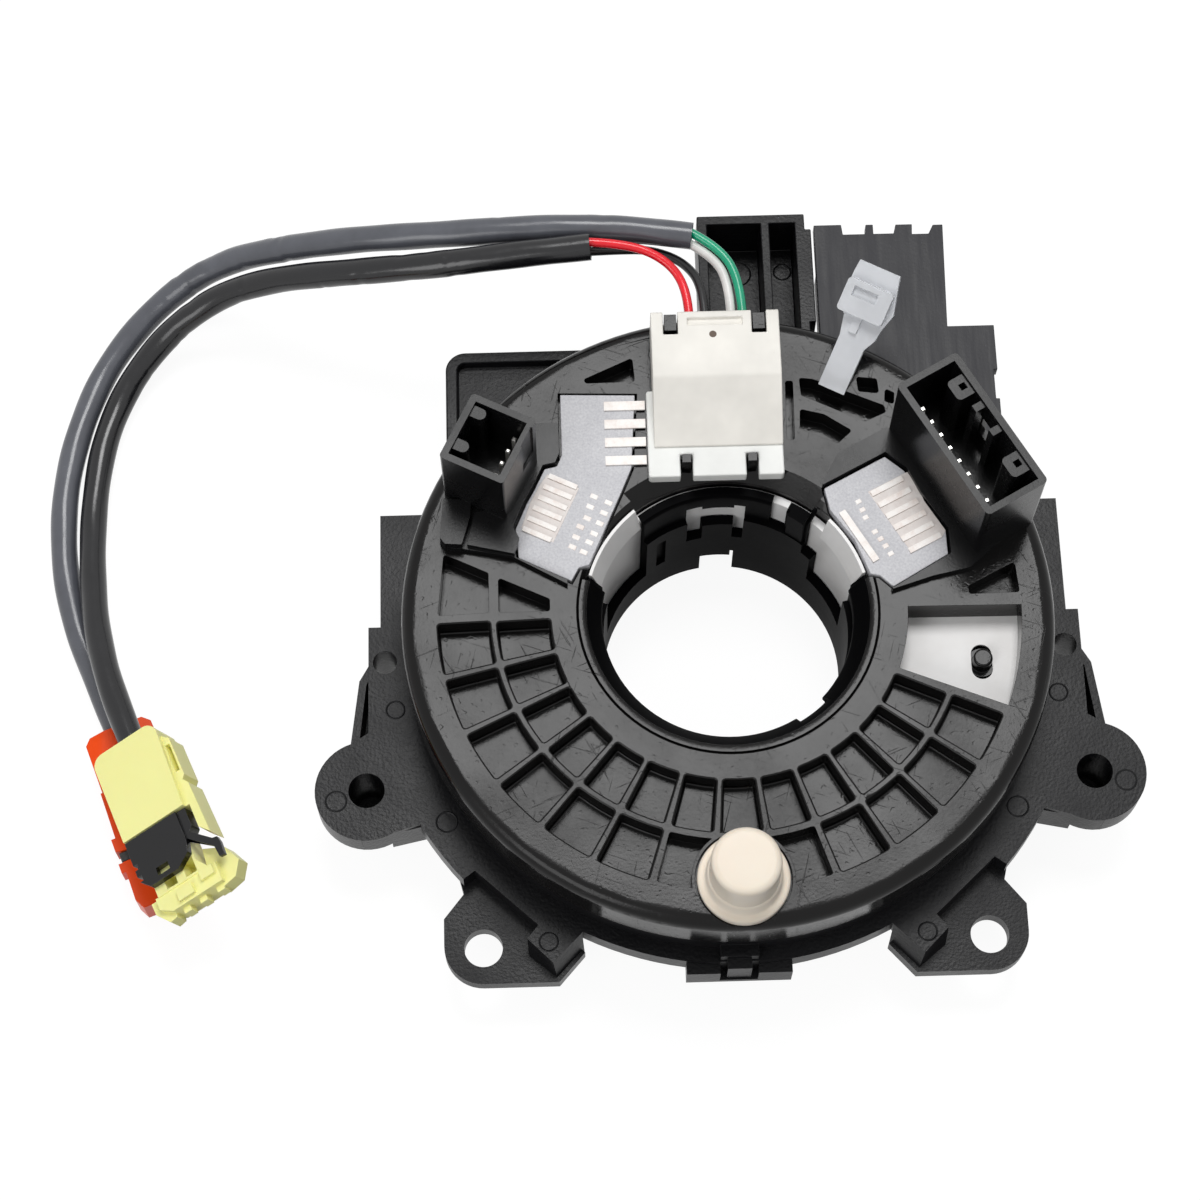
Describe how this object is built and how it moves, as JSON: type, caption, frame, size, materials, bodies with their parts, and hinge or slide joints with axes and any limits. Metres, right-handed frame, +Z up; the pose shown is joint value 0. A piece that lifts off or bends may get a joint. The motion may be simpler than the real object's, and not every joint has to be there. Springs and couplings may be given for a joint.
{
  "type": "steering clock spring",
  "caption": "Round steering clock spring with ribbed rotor, bore, airbag sockets, stopper pin and sleeved leads to two plugs.",
  "frame": {"origin": "on the rotor axis, where the lower end of the bore meets the plane that the unit rests on", "axes": "+Z up along the rotor axis towards the steering wheel, +X to the right, +Y to the back where the harness box is"},
  "size_m": [0.1732, 0.1257, 0.046],
  "materials": {
    "housing": "matte, fine texture",
    "rotor": "glossy",
    "socket": "satin",
    "sleeve_plastic": "glossy",
    "liner": "satin",
    "film": "satin, speckled",
    "bar_metal": "bright tinned",
    "contact_metal": "bright tinned",
    "flat_cable": "satin",
    "lead_block": "satin",
    "lead_cover": "satin",
    "clip": "translucent natural",
    "pin": "glossy",
    "wire_red": "glossy insulation",
    "wire_black": "glossy insulation",
    "wire_white": "glossy insulation",
    "wire_green": "glossy insulation",
    "sleeve_grey": "glossy flexible tube",
    "sleeve_black": "glossy flexible tube",
    "plug_yellow": "satin",
    "plug_orange": "satin",
    "plug_black": "satin"
  },
  "bodies": {
    "housing": {"housing_base": "housing", "lower_case": "housing", "cable_drum": "housing", "rear_terminal_box": "housing", "rear_side_block": "housing", "sensor_cover": "housing", "rear_contacts": "contact_metal", "flat_cable": "flat_cable"},
    "rotor": {"rotor_cover": "rotor", "bore_sleeve": "sleeve_plastic", "inner_liner": "liner", "slide_sheet": "liner", "sheet_stake": "rotor", "left_terminal_film": "film", "right_terminal_film": "film", "left_bus_bars": "bar_metal", "right_bus_bars": "bar_metal", "left_socket": "socket", "right_socket": "socket", "left_contacts": "contact_metal", "right_contacts": "contact_metal", "lead_block": "lead_block", "lead_cover": "lead_cover", "wire_clip": "clip", "red_wire": "wire_red", "black_wire": "wire_black", "white_wire": "wire_white", "green_wire": "wire_green", "grey_sleeve": "sleeve_grey", "black_sleeve": "sleeve_black", "yellow_plug": "plug_yellow", "orange_plug": "plug_orange", "orange_plug_lock": "plug_black"},
    "stopper": {"stopper_pin": "pin"},
    "lock": {"plug_lock": "plug_black"}
  },
  "joints": [
    {"name": "rotor_turn", "type": "hinge", "parent": "housing", "child": "rotor", "pos_m": [0, 0, 0], "axis": [0, 0, 1], "range_deg": [-900, 900]},
    {"name": "stopper_pull", "type": "slide", "parent": "rotor", "child": "stopper", "axis": [0, 0, 1], "range_m": [0, 0.014]},
    {"name": "plug_lock_slide", "type": "slide", "parent": "rotor", "child": "lock", "axis": [0.3722, -0.9115, 0.1751], "range_m": [0, 0.002]}
  ]
}
